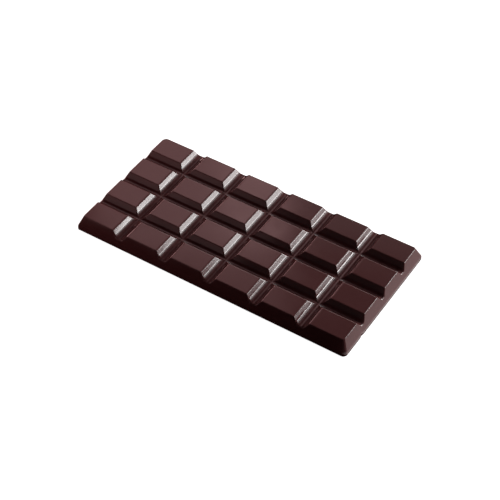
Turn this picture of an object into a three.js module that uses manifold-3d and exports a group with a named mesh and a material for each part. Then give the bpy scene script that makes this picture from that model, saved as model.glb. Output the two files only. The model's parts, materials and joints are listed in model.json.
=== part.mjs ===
// A moulded chocolate bar in one solid: a block with leaning flanks, scored by
// crossing grooves into four rows of six bevelled pieces.
// It lies on its flat poured side, centred on the origin, with its length along X.
// Millimetres, +Z up.

import * as THREE from "three";
import { mergeVertices, toCreasedNormals } from "three/addons/utils/BufferGeometryUtils.js";
import Module from "manifold-3d";

// The block.
const LENGTH = 154.8;
const WIDTH = 75.4;
const HEIGHT = 8.5;
const RIM_HEIGHT = 2.3; // upright edge round the poured side
const FLANK_RUN = 2.6; // how far a flank leans in, from the rim up to the top

// The grooves: those between columns run along Y, those between rows along X.
// half_top and half_floor are half the width at the top and at the floor, before
// the floor is rounded from wall to wall.
const GROOVE_DEPTH = 3.2;
const COLUMN_GROOVES = { pieces: 6, pitch: 26.1, half_top: 4.15, half_floor: 1.7, rounding: 1.5 };
const ROW_GROOVES = { pieces: 4, pitch: 19.5, half_top: 3.6, half_floor: 1.15, rounding: 0.95 };

// Roundings: how far from the sharp corner a curve begins.
const PIECE_ROUNDING = 0.5; // where the top of a piece meets a groove
const OUTER_ROUNDING = 0.6; // where the top of a piece meets a flank
const RIM_ROUNDING = 0.6; // where a flank meets the rim
const CURVE_STEPS = 4; // straight steps in each curve

// The corners of the block seen from above, rounded by one amount at the rim and
// by another at the top. Signs give the end (X) and the side (Y).
const CORNERS = [
  { x: 1, y: -1, at_rim: 2.2, at_top: 1.2 },
  { x: 1, y: 1, at_rim: 0.9, at_top: 1.2 },
  { x: -1, y: 1, at_rim: 2.5, at_top: 2.5 },
  { x: -1, y: -1, at_rim: 0.9, at_top: 1.2 },
];

const CUTTER_MARGIN = 1; // how far a groove's cutter stands out of the block
const CREASE_ANGLE = THREE.MathUtils.degToRad(25); // a sharper bend is drawn as an edge

const CHOCOLATE = new THREE.MeshStandardMaterial({
  name: "dark_chocolate",
  color: 0x3a2021,
  roughness: 0.35,
  metalness: 0,
});

const wasm = await Module();
wasm.setup();

// The points of a line through [x, y, rounding] corners. A curve bridges each
// corner that has a rounding; the first and the last are ends and stay sharp.
function roundedLine(corners) {
  const points = corners.map(([x, y]) => new THREE.Vector2(x, y));
  const line = new THREE.Path([points[0]]);
  for (let i = 1; i < corners.length - 1; i++) {
    const rounding = corners[i][2] ?? 0;
    const away = (end) => end.clone().sub(points[i]).setLength(rounding).add(points[i]);
    const start = away(points[i - 1]);
    const finish = away(points[i + 1]);
    line.lineTo(start.x, start.y);
    if (rounding > 0) line.quadraticCurveTo(points[i].x, points[i].y, finish.x, finish.y);
  }
  const last = points.at(-1);
  line.lineTo(last.x, last.y);
  return line.getPoints(CURVE_STEPS);
}

// The outline of the block at one height, drawn in from the rim by an inset and
// started in the middle of the near side.
function outline(inset, height) {
  const x = LENGTH / 2 - inset;
  const y = WIDTH / 2 - inset;
  const rise = Math.max(0, (height - RIM_HEIGHT) / (HEIGHT - RIM_HEIGHT));
  const corners = CORNERS.map((corner) => {
    const rounding = THREE.MathUtils.lerp(corner.at_rim, corner.at_top, rise);
    return [corner.x * x, corner.y * y, rounding];
  });
  return roundedLine([[0, -y], ...corners, [0, -y]]).slice(0, -1);
}

// A flank seen along the bar: how far it is drawn in (x) at each height (y).
function flank() {
  return roundedLine([
    [0, 0],
    [0, RIM_HEIGHT, RIM_ROUNDING],
    [FLANK_RUN, HEIGHT, OUTER_ROUNDING],
    [FLANK_RUN + OUTER_ROUNDING, HEIGHT],
  ]);
}

// The block without its grooves: the foot's outline is extruded in as many layers
// as the flank has points, and each layer takes the outline of its own height.
function blockGeometry() {
  const layers = flank();
  const foot = outline(0, 0);
  const steps = layers.length - 1;
  const options = { depth: steps, steps, bevelEnabled: false };
  const geometry = new THREE.ExtrudeGeometry(new THREE.Shape(foot), options);
  const outlines = layers.map((layer) => outline(layer.x, layer.y));
  const place = geometry.getAttribute("position");
  for (let i = 0; i < place.count; i++) {
    const level = Math.round(place.getZ(i));
    const here = new THREE.Vector2(place.getX(i), place.getY(i));
    const distances = foot.map((point) => point.distanceTo(here));
    const nearest = distances.indexOf(Math.min(...distances));
    const { x, y } = outlines[level][nearest];
    place.setXYZ(i, x, y, layers[level].y);
  }
  return geometry;
}

// What a groove takes away: its section is drawn with the bar's top at y = 0.
function cutterGeometry(groove, length) {
  const { half_top, half_floor, rounding } = groove;
  const outer = half_top + CUTTER_MARGIN;
  const section = roundedLine([
    [outer, CUTTER_MARGIN],
    [-outer, CUTTER_MARGIN],
    [-outer, 0],
    [-half_top, 0, PIECE_ROUNDING],
    [-half_floor, -GROOVE_DEPTH, rounding],
    [half_floor, -GROOVE_DEPTH, rounding],
    [half_top, 0, PIECE_ROUNDING],
    [outer, 0],
  ]);
  const depthAlong = length + 2 * CUTTER_MARGIN;
  const options = { depth: depthAlong, bevelEnabled: false };
  const geometry = new THREE.ExtrudeGeometry(new THREE.Shape(section), options);
  return geometry.rotateX(Math.PI / 2).translate(0, depthAlong / 2, HEIGHT);
}

// A geometry as a solid that can be cut.
function solidOf(geometry) {
  geometry.deleteAttribute("normal");
  geometry.deleteAttribute("uv");
  const merged = mergeVertices(geometry);
  return new wasm.Manifold(
    new wasm.Mesh({
      numProp: 3,
      vertProperties: merged.getAttribute("position").array,
      triVerts: new Uint32Array(merged.index.array),
    }),
  );
}

// A solid as a geometry that can be drawn.
function geometryOf(solid) {
  const { vertProperties, triVerts } = solid.getMesh();
  const geometry = new THREE.BufferGeometry();
  geometry.setAttribute("position", new THREE.BufferAttribute(vertProperties, 3));
  geometry.setIndex(new THREE.BufferAttribute(triVerts, 1));
  return toCreasedNormals(geometry, CREASE_ANGLE);
}

// The distance of each groove of a kind from the middle of the bar.
function groovePlaces({ pieces, pitch }) {
  return Array.from({ length: pieces - 1 }, (_, i) => (i + 1 - pieces / 2) * pitch);
}

let bar = solidOf(blockGeometry());
for (const x of groovePlaces(COLUMN_GROOVES)) {
  bar = bar.subtract(solidOf(cutterGeometry(COLUMN_GROOVES, WIDTH).translate(x, 0, 0)));
}
for (const y of groovePlaces(ROW_GROOVES)) {
  const cutter = cutterGeometry(ROW_GROOVES, LENGTH).rotateZ(Math.PI / 2);
  bar = bar.subtract(solidOf(cutter.translate(0, y, 0)));
}

const chocolateBar = new THREE.Mesh(geometryOf(bar), CHOCOLATE);
chocolateBar.name = "chocolate_bar";

const part = new THREE.Group();
part.name = "bar_of_chocolate";
part.add(chocolateBar);

export default part;
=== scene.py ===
# %% [markdown]
# # A bar of dark chocolate
# The bar is one piece of tempered dark chocolate: a thin slab with a low upright rim, sloping
# outer flanks, and twenty-four raised pieces in six columns and four rows. It comes out of a
# polished mould, so the raised side is glossy and every edge is a little soft, while the back
# was open to the air when the mould was filled and is duller. The lesson models the bar from
# one flat sheet, gives it two chocolate finishes, and lights it as a small studio would.

# %% Load the frame
import math

import bmesh
import bpy
from mathutils import Matrix, Vector, noise
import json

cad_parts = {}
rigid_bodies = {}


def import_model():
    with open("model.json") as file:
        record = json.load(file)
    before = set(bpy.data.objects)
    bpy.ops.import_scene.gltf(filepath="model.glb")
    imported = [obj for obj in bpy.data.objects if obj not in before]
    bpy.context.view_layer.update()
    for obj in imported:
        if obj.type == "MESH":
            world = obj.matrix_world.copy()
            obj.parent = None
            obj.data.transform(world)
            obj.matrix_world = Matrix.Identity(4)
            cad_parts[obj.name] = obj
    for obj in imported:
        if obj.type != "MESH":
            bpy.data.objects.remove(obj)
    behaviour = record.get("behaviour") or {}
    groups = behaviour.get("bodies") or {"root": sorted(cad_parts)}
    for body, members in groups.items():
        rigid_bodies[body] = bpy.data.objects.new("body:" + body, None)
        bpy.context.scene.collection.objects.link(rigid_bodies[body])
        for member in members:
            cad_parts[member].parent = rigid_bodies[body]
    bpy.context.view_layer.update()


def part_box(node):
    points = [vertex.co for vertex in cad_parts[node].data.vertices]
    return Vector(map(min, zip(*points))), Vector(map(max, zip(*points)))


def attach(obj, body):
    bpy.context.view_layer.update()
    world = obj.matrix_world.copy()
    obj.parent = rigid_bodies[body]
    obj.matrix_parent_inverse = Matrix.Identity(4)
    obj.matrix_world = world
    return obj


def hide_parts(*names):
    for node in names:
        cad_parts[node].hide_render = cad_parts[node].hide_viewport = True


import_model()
low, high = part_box("chocolate_bar")
MM = 0.001
print("bar of the frame, mm:", [round((b - a) / MM, 2) for a, b in zip(low, high)])

# %% [markdown]
# ## The measures
# A mould maker would draw the bar by a handful of numbers: its outside, the rim that stands
# upright round the foot, how far the flank leans in, and the two sets of grooves. Columns and
# rows differ a little: the grooves between columns are wide and round at the bottom, those
# between rows are tighter. Both are equally deep, so their walls meet on clean diagonals.

# %% The measures
LENGTH = high[0] - low[0]
WIDTH = high[1] - low[1]
HEIGHT = high[2] - low[2]
RIM = 2.3 * MM          # upright foot of the outside
LEAN = 2.6 * MM         # how far the flank leans in between rim and top
DEEP = 3.2 * MM         # depth of every groove
FLOOR = HEIGHT - DEEP
# top and bottom are half the width of a groove, at its upper edges and at its floor
COLUMNS = {"count": 6, "pitch": 26.1 * MM, "top": 4.15 * MM, "bottom": 1.7 * MM}
ROWS = {"count": 4, "pitch": 19.5 * MM, "top": 3.6 * MM, "bottom": 1.15 * MM}
ALONG, ACROSS = Vector((1, 0, 0)), Vector((0, 1, 0))
HAIR = 1e-6             # closer than this counts as the same place
print("groove floors lie", round(FLOOR / MM, 2), "mm above the table")

# %% [markdown]
# ## A sheet cut like graph paper
# The relief could be carved from a block with twenty-four boxes, but the corners where grooves
# cross would need much cleaning. It is quicker to think of the top as one flat sheet. The sheet
# is cut along every line where the relief will bend: both edges of each groove, both edges of
# its floor, and the lines on the flank that are as high as the groove floors and the top.
# `bisect_plane` makes such a cut and leaves all faces joined.

# %% A sheet cut like graph paper
def flank_inset(height):
    """How far inside the rim the sloping flank is, at a given height."""
    return LEAN * (height - RIM) / (HEIGHT - RIM)


def bend_lines(half, groove):
    lines = []
    for number in range(1, groove["count"]):
        middle = (number - groove["count"] / 2) * groove["pitch"]
        for reach in (groove["top"], groove["bottom"]):
            lines += [middle - reach, middle + reach]
    for inset in (flank_inset(FLOOR), flank_inset(HEIGHT)):
        lines += [half - inset, inset - half]
    return lines


def cut(parts, axis, place):
    """Cut some corners, edges and faces of the bar by the upright plane at a place on an axis."""
    return bmesh.ops.bisect_plane(bar, geom=parts, plane_co=axis * place, plane_no=axis, dist=HAIR / 10)


bar = bmesh.new()
bmesh.ops.create_grid(bar, x_segments=1, y_segments=1, size=0.5)
bmesh.ops.scale(bar, vec=(LENGTH, WIDTH, 1), verts=bar.verts)
for axis, half, groove in ((ALONG, LENGTH / 2, COLUMNS), (ACROSS, WIDTH / 2, ROWS)):
    for place in bend_lines(half, groove):
        cut(bar.verts[:] + bar.edges[:] + bar.faces[:], axis, place)
print("sheet:", len(bar.verts), "corners,", len(bar.faces), "faces")

# %% [markdown]
# ## Raise the pieces
# Now each corner of the sheet is lifted to its height: groove floors and the low line of the
# flank to one level, the border to the rim, and all the rest to the top. Between those levels
# the faces become the sloping walls by themselves.

# %% Raise the pieces
def nearest_groove(place, groove):
    number = round(place / groove["pitch"] + groove["count"] / 2)
    number = min(max(number, 1), groove["count"] - 1)
    return (number - groove["count"] / 2) * groove["pitch"]


def on_floor(place, groove):
    return abs(place - nearest_groove(place, groove)) < groove["bottom"] + HAIR


for corner in bar.verts:
    x, y = corner.co.x, corner.co.y
    edge = min(LENGTH / 2 - abs(x), WIDTH / 2 - abs(y))
    if edge < HAIR:
        corner.co.z = RIM
    elif edge < flank_inset(FLOOR) + HAIR or on_floor(x, COLUMNS) or on_floor(y, ROWS):
        corner.co.z = FLOOR
    else:
        corner.co.z = HEIGHT
print("highest corner, mm:", round(max(v.co.z for v in bar.verts) / MM, 2))

# %% [markdown]
# ## Diagonals at the crossings
# Where two walls meet at a corner of a piece, the sheet has one four-sided face with a single
# high corner. Left alone it would be bent in an unclear way. A diagonal from the high corner
# to the one across it turns the face into the two walls' ends, as on the real mould.

# %% Diagonals at the crossings
diagonals = 0
for face in bar.faces[:]:
    heights = sorted(v.co.z for v in face.verts)
    if heights[3] - heights[2] > HAIR > heights[2] - heights[0]:
        corners = list(face.verts)
        peak = max(range(4), key=lambda i: corners[i].co.z)
        bmesh.ops.connect_vert_pair(bar, verts=[corners[peak], corners[(peak + 2) % 4]])
        diagonals += 1
print("diagonals:", diagonals)

# %% [markdown]
# ## The rim and the underside
# The open border of the sheet is drawn straight down to the table, which makes the upright rim,
# and the loop that arrives there is filled with the underside. The cuts that ended up inside a
# flat face are not needed any more, so they are dissolved, apart from the ones on the groove
# floors, which hold the crossings together.

# %% The rim and the underside
FLAT = 1                # degrees: less than this is no bend at all


def bend(edge):
    """Angle between the two faces of an edge, in degrees."""
    return math.degrees(edge.calc_face_angle())


def lies_on_floor(edge):
    return all(abs(v.co.z - FLOOR) < HAIR for v in edge.verts)


border = [e for e in bar.edges if e.is_boundary]
drawn = bmesh.ops.extrude_edge_only(bar, edges=border)
foot = [v for v in drawn["geom"] if isinstance(v, bmesh.types.BMVert)]
bmesh.ops.translate(bar, vec=(0, 0, -RIM), verts=foot)
bmesh.ops.contextual_create(bar, geom=[e for e in bar.edges if e.is_boundary])
bmesh.ops.recalc_face_normals(bar, faces=bar.faces)
needless = [e for e in bar.edges if bend(e) < FLAT and not lies_on_floor(e)]
bmesh.ops.dissolve_limit(bar, angle_limit=math.radians(FLAT), use_dissolve_boundaries=False,
                         verts=bar.verts, edges=needless, delimit=set())
print("closed:", all(e.is_manifold for e in bar.edges), "-", len(bar.faces), "faces,",
      round(bar.calc_volume() * 1e6, 1), "cm3")

# %% [markdown]
# ## The four corners
# The corners of the bar are rounded seen from above, and not all alike: the near right and the
# far left one are rounder. A bevel along the slanting corner line rounds the rim and the flank
# in one go. The rings of points higher up are then scaled about the corner line, so that a
# rounding can be wide at the table and tighter at the top, as a tapered mould gives it.

# %% The four corners
# (right or left end, far or near side): rounding at the rim and at the top, in mm
CORNERS = {(1, -1): (2.2, 1.2), (1, 1): (0.9, 1.2), (-1, 1): (2.5, 2.5), (-1, -1): (0.9, 1.2)}
RING = 0.2 * MM         # a ring's points are this close to its height


def corner_line(end, side):
    """The edges that run up one corner of the bar, where both distances from the outside agree."""
    def on_line(v):
        from_end, from_side = LENGTH / 2 - end * v.co.x, WIDTH / 2 - side * v.co.y
        return abs(from_end - from_side) < HAIR and from_end < LEAN + HAIR

    return [e for e in bar.edges if all(on_line(v) for v in e.verts)]


for (end, side), (at_rim, at_top) in CORNERS.items():
    made = bmesh.ops.bevel(bar, geom=corner_line(end, side), offset=at_rim * MM, offset_type="OFFSET",
                           segments=6, profile=0.5, affect="EDGES", clamp_overlap=True, material=-1,
                           loop_slide=True)
    for level in (RIM, FLOOR, HEIGHT):
        inset = flank_inset(level)
        peak = Vector((end * (LENGTH / 2 - inset), side * (WIDTH / 2 - inset), level))
        grow = 1 + (at_top / at_rim - 1) * (level - RIM) / (HEIGHT - RIM)
        ring = [v for v in made["verts"] if abs(v.co.z - level) < RING]
        bmesh.ops.scale(bar, vec=(grow, grow, 0), verts=ring, space=Matrix.Translation(-peak))
print("corners rounded, faces now", len(bar.faces))

# %% [markdown]
# ## A nick in the rim
# Thin rims chip when bars knock together. This one has lost a splinter close to the near right
# corner. Three cuts through the end of the bar give the nick its place, and the corners on the
# middle cut are pushed in, which leaves a shallow V in the rim that runs out up the flank.

# %% A nick in the rim
NICK_AT = -22 * MM      # along the right end, from its middle
NICK_REACH = 1.7 * MM   # to either side of the deepest point
NICK_DEEP = 0.4 * MM
AT_FOOT = 0.8           # share of that depth down at the table


def right_end():
    """The faces of the rim and of the lower flank at the right end."""
    faces = []
    for face in bar.faces:
        middle = face.calc_center_median()
        if face.normal.x > 0.5 and middle.x > LENGTH / 2 - flank_inset(FLOOR) and middle.z < FLOOR:
            faces.append(face)
    return faces


def with_edges(faces):
    """Some faces with all their edges and corners, each of them once and in a steady order."""
    corners = dict.fromkeys(v for f in faces for v in f.verts)
    edges = dict.fromkeys(e for f in faces for e in f.edges)
    return [*corners, *edges, *faces]


for place in (NICK_AT - NICK_REACH, NICK_AT, NICK_AT + NICK_REACH):
    cut(with_edges(right_end()), ACROSS, place)
chipped = [v for v in bar.verts if abs(v.co.y - NICK_AT) < HAIR and v.co.z < RIM + HAIR
           and v.co.x > LENGTH / 2 - HAIR]
for v in chipped:
    v.co.x -= NICK_DEEP * (1 if v.co.z > HAIR else AT_FOOT)
print("corners pushed in:", len(chipped))

# %% [markdown]
# ## The poured side
# The underside was the open face of the mould. The chocolate settled there by itself, so it is
# not quite flat: it touches the table all round and lies a hair above it further in. The face is
# inset, its inside is cut into a grid, and each corner of the grid is lifted by smooth noise.
# These faces also get the second material, which is made further down.

# %% The poured side
SEAM = 1.2 * MM         # flat border that the bar rests on
CELL = 5 * MM           # size of the grid
HOLLOW = 0.08 * MM      # how far the inside lies above the table
SWELL = 0.06 * MM       # how far it rises or falls from there
BROAD, FINE = 45, 110   # scales of the two noises, in waves per metre
DOWN = -0.9             # a normal with less z than this belongs to the underside


def swell(place):
    """A value from -1 to 1 that changes smoothly over the poured side."""
    broad = noise.noise(Vector((place.x, place.y, 0)) * BROAD)
    fine = noise.noise(Vector((place.x, place.y, 1)) * FINE)
    return max(-1, min(1, broad + 0.5 * fine))


underside = max(bar.faces, key=lambda f: f.calc_area() if f.normal.z < DOWN else 0)
bmesh.ops.inset_region(bar, faces=[underside], thickness=SEAM, use_even_offset=True, use_boundary=True)
inside = [underside]
for axis, half in ((ALONG, LENGTH / 2), (ACROSS, WIDTH / 2)):
    for step in range(int(2 * half / CELL)):
        pieces = cut(with_edges(inside), axis, -half + CELL * (step + 0.5))["geom"]
        inside = [piece for piece in pieces if isinstance(piece, bmesh.types.BMFace)]
inside = set(inside)
for v in {v for f in inside for v in f.verts}:
    if inside.issuperset(v.link_faces):
        v.co.z += HOLLOW + SWELL * swell(v.co)
for face in bar.faces:
    if face.normal.z < DOWN:
        face.material_index = 1
print("faces on the poured side:", sum(f.material_index for f in bar.faces))

# %% [markdown]
# ## How soft is each edge?
# Melted chocolate fills a mould closely but never makes a knife edge, and the groove floors of
# this mould are round from wall to wall. Each edge gets its own softness as a bevel weight, so
# that one Bevel modifier can round them all together: wide on the floors of the column grooves,
# tighter on those of the row grooves, broad along the rim, and crisp where the top of a piece
# meets the flank. The softness is in millimetres, and the widest one gets the full weight of 1.

# %% How soft is each edge?
SOFTNESS = {"column floor": 1.65, "row floor": 1.1, "column edge": 0.6, "row edge": 0.3,
            "piece corner": 0.35, "outside": 0.32, "rim": 0.6, "foot": 0.2}
WIDEST = max(SOFTNESS.values())
SHARP = 20              # degrees: edges that bend less stay as they are


def runs_along(a, b, groove):
    """True where both ends lie on the same upper edge of a groove."""
    return abs(a - b) < HAIR and abs(abs(a - nearest_groove(a, groove)) - groove["top"]) < HAIR


def on_flank(a, b):
    """True where both ends of an edge as high as the groove floors lie on the same flank."""
    inset = flank_inset(FLOOR) + HAIR
    return (min(abs(a.x), abs(b.x)) > LENGTH / 2 - inset
            or min(abs(a.y), abs(b.y)) > WIDTH / 2 - inset)


def edge_kind(edge):
    a, b = sorted((v.co for v in edge.verts), key=lambda co: co.z)
    if b.z < RIM + HAIR:
        if a.z > RIM - HAIR:
            return "rim"
        return "foot" if b.z < HAIR and bend(edge) > SHARP else None
    if bend(edge) < SHARP:
        return None
    if a.z > HEIGHT - HAIR:
        if runs_along(a.x, b.x, COLUMNS):
            return "column edge"
        return "row edge" if runs_along(a.y, b.y, ROWS) else "outside"
    if lies_on_floor(edge):
        if on_flank(a, b):
            return "outside"
        return "column floor" if abs(a.x - b.x) < abs(a.y - b.y) else "row floor"
    return "piece corner"


weight = bar.edges.layers.float.new("bevel_weight_edge")
tally = {}
for edge in bar.edges:
    kind = edge_kind(edge)
    edge[weight] = SOFTNESS[kind] / WIDEST if kind else 0.0
    tally[kind] = tally.get(kind, 0) + 1
print("edges of each kind:", tally)

# %% [markdown]
# ## One object for the bar
# The mesh becomes an object at the origin, in metres, unturned and unscaled. The Bevel modifier
# rounds the edges by their weights. Weighted Normal after it makes the large faces shade truly
# flat and leaves the turning of the light to the narrow rounded strips, which is what gives
# moulded chocolate its crisp lines of shine.

# %% One object for the bar
scene = bpy.context.scene
mesh = bpy.data.meshes.new("moulded_bar")
bar.to_mesh(mesh)
bar.free()
moulded_bar = bpy.data.objects.new("moulded_bar", mesh)
scene.collection.objects.link(moulded_bar)
for face in mesh.polygons:
    face.use_smooth = True

soft_edges = moulded_bar.modifiers.new("soft edges", "BEVEL")
soft_edges.limit_method = "WEIGHT"
soft_edges.width = WIDEST * MM
soft_edges.segments = 6
soft_edges.profile = 0.5
soft_edges.use_clamp_overlap = False
flat_faces = moulded_bar.modifiers.new("flat faces stay flat", "WEIGHTED_NORMAL")
flat_faces.mode = "FACE_AREA"
flat_faces.weight = 100
flat_faces.keep_sharp = False

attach(moulded_bar, "root")
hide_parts("chocolate_bar")
print("bar object:", moulded_bar.name, "with", len(mesh.polygons), "faces before the modifiers")

# %% [markdown]
# ## Patterns and bumps
# Both finishes of the bar are built from the same few things: smooth noise, and bumps that are
# driven by such noise. All of it reads Object coordinates, in metres, so a scale of 100 means
# features of a centimetre, and the pattern stays on the chocolate however the bar is turned.

# %% Patterns and bumps
def pattern(tree, scale, detail):
    """Smooth noise over the object, as an output from about 0.3 to 0.7."""
    place = tree.nodes.new("ShaderNodeTexCoord")
    field = tree.nodes.new("ShaderNodeTexNoise")
    field.inputs["Scale"].default_value = scale
    field.inputs["Detail"].default_value = detail
    tree.links.new(place.outputs["Object"], field.inputs["Vector"])
    return field.outputs["Fac"]


def bumps(tree, layers):
    """Layers of (scale, height) on top of each other, as one normal."""
    normal = None
    for scale, height in layers:
        bump = tree.nodes.new("ShaderNodeBump")
        bump.inputs["Strength"].default_value = 1.0
        bump.inputs["Distance"].default_value = height
        tree.links.new(pattern(tree, scale, detail=2), bump.inputs["Height"])
        if normal:
            tree.links.new(normal, bump.inputs["Normal"])
        normal = bump.outputs["Normal"]
    return normal


print("features of a pattern of scale 100:", round(1 / 100 / MM), "mm")

# %% [markdown]
# ## Moulded chocolate
# Tempered chocolate is a very dark, slightly purple brown with a clear shine, because cocoa
# butter sets glassy against a polished mould. The colour comes from a Principled shader. Slow
# noise moves it a little lighter and darker, as cocoa solids never spread quite evenly, a second
# noise varies the roughness, and two very low bumps, one broad and one fine, keep the shine
# from looking like plastic. The same function makes both finishes: the poured side set against
# the air instead of the mould, so it is rougher, more uneven and duller.

# %% Moulded chocolate
MICRON = 1e-6
COCOA_BUTTER = 1.5      # index of refraction


def chocolate(name, light, dark, roughness, mottle, swells, grain):
    material = bpy.data.materials.new(name)
    material.use_nodes = True
    tree = material.node_tree
    tree.nodes.clear()
    out = tree.nodes.new("ShaderNodeOutputMaterial")
    shader = tree.nodes.new("ShaderNodeBsdfPrincipled")
    shader.inputs["IOR"].default_value = COCOA_BUTTER
    tree.links.new(shader.outputs["BSDF"], out.inputs["Surface"])

    tint = tree.nodes.new("ShaderNodeMix")
    tint.data_type = "RGBA"
    tint.inputs["A"].default_value = (*dark, 1)
    tint.inputs["B"].default_value = (*light, 1)
    tree.links.new(pattern(tree, mottle, detail=4), tint.inputs["Factor"])
    tree.links.new(tint.outputs["Result"], shader.inputs["Base Color"])

    shine = tree.nodes.new("ShaderNodeMapRange")
    shine.inputs["From Min"].default_value = 0.3
    shine.inputs["From Max"].default_value = 0.7
    shine.inputs["To Min"].default_value = roughness[0]
    shine.inputs["To Max"].default_value = roughness[1]
    tree.links.new(pattern(tree, mottle * 1.7, detail=3), shine.inputs["Value"])
    tree.links.new(shine.outputs["Result"], shader.inputs["Roughness"])

    tree.links.new(bumps(tree, [(mottle, swells), grain]), shader.inputs["Normal"])
    return material


mould_side = chocolate("moulded_chocolate", light=(0.122, 0.0445, 0.0445), dark=(0.108, 0.039, 0.039),
                       roughness=(0.10, 0.14), mottle=60, swells=20 * MICRON, grain=(900, 0.4 * MICRON))
poured_side = chocolate("poured_chocolate", light=(0.125, 0.050, 0.048), dark=(0.105, 0.040, 0.039),
                        roughness=(0.32, 0.45), mottle=70, swells=60 * MICRON, grain=(1400, 3 * MICRON))
mesh.materials.append(mould_side)
mesh.materials.append(poured_side)
print("materials:", [m.name for m in mesh.materials])

# %% [markdown]
# ## The table
# The bar lies on a table of frosted glass lit from below, as catalogues are shot: it glows as
# white as paper and swallows every shadow. It is kept out of the mirror images on the chocolate,
# as a studio would flag it off, because it would draw a bright line along the bar's foot.

# %% The table
TABLE = 4               # metres from side to side
sheet = bmesh.new()
bmesh.ops.create_grid(sheet, x_segments=1, y_segments=1, size=TABLE / 2)
table_mesh = bpy.data.meshes.new("table")
sheet.to_mesh(table_mesh)
sheet.free()
table = bpy.data.objects.new("table", table_mesh)
scene.collection.objects.link(table)
frosted = bpy.data.materials.new("frosted_glass")
frosted.use_nodes = True
glow = frosted.node_tree.nodes["Principled BSDF"].inputs
glow["Base Color"].default_value = (0.8, 0.8, 0.8, 1)
glow["Roughness"].default_value = 0.9
glow["Specular IOR Level"].default_value = 0.0
glow["Emission Color"].default_value = (1, 1, 1, 1)
glow["Emission Strength"].default_value = 1.0
table_mesh.materials.append(frosted)
table.visible_glossy = False
table.visible_diffuse = False
print("table:", TABLE, "m wide, glowing")

# %% [markdown]
# ## Lamps as parts of the room
# Glossy chocolate shows its lights as much as its colour. Each lamp is an upright panel given by
# the part of the room that it fills, seen from the bar: from one compass angle to another and
# from one height to another, in degrees. Its brightness is given as seen by the eye, with white
# paper at 1, so that what is mirrored in the chocolate can be reasoned about directly.

# %% Lamps as parts of the room
WHITE = (1, 1, 1)
WARM = (1, 0.56, 0.56)
ROSY = (1, 0.63, 0.64)
NEAR, BEHIND, FRONT, FAR = 0.16, 0.8, 1.0, 1.3      # metres from the bar to a panel


def hang(name, width, height, brightness, colour, place, turn):
    lamp = bpy.data.lights.new(name, "AREA")
    lamp.shape = "RECTANGLE"
    lamp.size = width
    lamp.size_y = height
    lamp.energy = brightness * math.pi * width * height
    lamp.color = colour
    holder = bpy.data.objects.new(name, lamp)
    holder.location = place
    holder.rotation_euler = turn
    holder.visible_camera = False
    scene.collection.objects.link(holder)


def panel(name, around, above, distance, brightness, colour=WHITE):
    """An upright panel between two compass angles and two heights, facing the bar."""
    middle = math.radians(sum(around) / 2)
    bottom, top = (distance * math.tan(math.radians(angle)) for angle in above)
    width = 2 * distance * math.tan(math.radians(around[1] - around[0]) / 2)
    place = (distance * math.cos(middle), distance * math.sin(middle), (bottom + top) / 2)
    hang(name, width, top - bottom, brightness, colour, place, (math.pi / 2, 0, middle + math.pi / 2))


def count_lamps():
    return sum(thing.type == "LIGHT" for thing in scene.objects)


print("panels stand", NEAR, "to", FAR, "m from the bar")

# %% [markdown]
# ## A softbox behind on the right
# The walls that face the right end lean just enough to mirror this corner of the room, so a
# softbox there turns them into the bright ridges. Panels of different size over each other give
# it the soft fall-off of a real one. Low strips beside it draw the fine lines along the far
# edges of the pieces, and lift the flank at the right end.

# %% A softbox behind on the right
panel("softbox", (34.5, 56), (11, 27), BEHIND, 9.7)
panel("softbox heart", (34.5, 46), (18, 25), BEHIND, 10.8)
panel("softbox upper glow", (34, 64), (27, 42), BEHIND, 3.2)
panel("softbox faint glow", (40, 80), (27, 54), BEHIND, 0.36)
panel("strip behind", (46, 100), (1.5, 12), BEHIND, 8.8)
panel("strip behind glow", (54, 100), (1.5, 20), BEHIND, 4.3)
panel("strip right", (30, 50), (1.5, 11), BEHIND, 2.75)
panel("strip far", (100, 119), (1.5, 20), FAR, 1.9)
print("lamps so far:", count_lamps())

# %% [markdown]
# ## A window behind on the left
# The flat tops mirror what stands behind the bar on the left, halfway up the sky. A warm window
# there makes their sheen. It ends in a straight upright edge, which the sheen shows across the
# fourth column: to the right of it the tops mirror only the dim wall, and their own brown shows.

# %% A window behind on the left
WINDOW_END = 119.6      # degrees: to the right of this is only wall
panel("window", (WINDOW_END, 135), (30, 46), FAR, 1.13, ROSY)
panel("window top", (WINDOW_END, 160), (46, 62), FAR, 0.6, ROSY)
panel("window bright edge", (WINDOW_END, 125), (34, 46), FAR, 0.72, ROSY)
panel("wall by the window", (100, 119), (28, 46), FAR, 0.25)
panel("low wall", (140, 170), (1.5, 14), FAR, 3.8, WARM)
print("lamps so far:", count_lamps())

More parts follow.
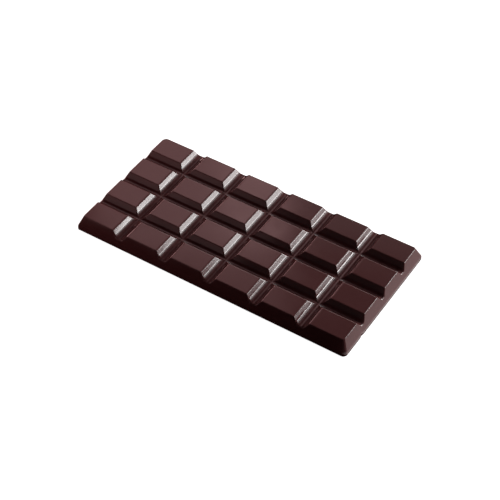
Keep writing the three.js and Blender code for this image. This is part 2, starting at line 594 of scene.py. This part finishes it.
# %% [markdown]
# ## Cards close to the bar
# Warm cards close to the left end and the front lift the walls that face them. As they are so
# near, they light the left end much more than the right, and the grooves fall off to dark
# towards the right. A narrow lamp on the table, beside the right end, stands in for the glow of
# the table that its flank mirrors. The rest of the room is almost black.

# %% Cards close to the bar
panel("left card", (165, 190), (0, 14), NEAR, 3.4, WARM)
panel("left card glow", (165, 190), (0, 30), NEAR, 0.85, WARM)
panel("front card", (210, 250), (0, 30), NEAR, 0.35, WARM)
panel("front card low", (210, 275), (0, 14), NEAR, 0.35, WARM)
panel("front card end", (210, 230), (0, 30), NEAR, 0.2, WARM)
panel("faint front", (228, 262), (8, 34), FRONT, 0.045)
hang("glow of the table", width=0.0225, height=0.125, brightness=0.81, colour=(1, 0.94, 0.93),
     place=(0.08875, 0.0175, 0.0006), turn=(math.pi, 0, 0))

room = bpy.data.worlds.new("dark_room")
room.use_nodes = True
room.node_tree.nodes["Background"].inputs["Color"].default_value = (1, 1, 1, 1)
room.node_tree.nodes["Background"].inputs["Strength"].default_value = 0.002
scene.world = room
print("lamps in all:", count_lamps())

# %% [markdown]
# ## The camera
# A long lens, halfway up from the table and turned by about a third of a right angle from the
# long front of the bar towards its right end. It looks at the middle of the bar's foot, and a
# very small shift brings the bar to its place in the square picture.

# %% The camera
AZIMUTH, ELEVATION = math.radians(32.85), math.radians(45.60)
DISTANCE = 0.6904       # metres
sight = Vector((math.sin(AZIMUTH) * math.cos(ELEVATION), -math.cos(AZIMUTH) * math.cos(ELEVATION),
                math.sin(ELEVATION)))
lens = bpy.data.cameras.new("long_lens")
lens.sensor_width = 36
lens.lens = 100.17
lens.shift_x = 0.0042
lens.shift_y = -0.0125
camera = bpy.data.objects.new("camera", lens)
camera.location = sight * DISTANCE
camera.rotation_euler = sight.to_track_quat("Z", "Y").to_euler()
scene.collection.objects.link(camera)
scene.camera = camera
scene.view_settings.view_transform = "Standard"
print("camera at", [round(c, 3) for c in camera.location], "m, lens", round(lens.lens, 1), "mm")

# %% Import json
import json
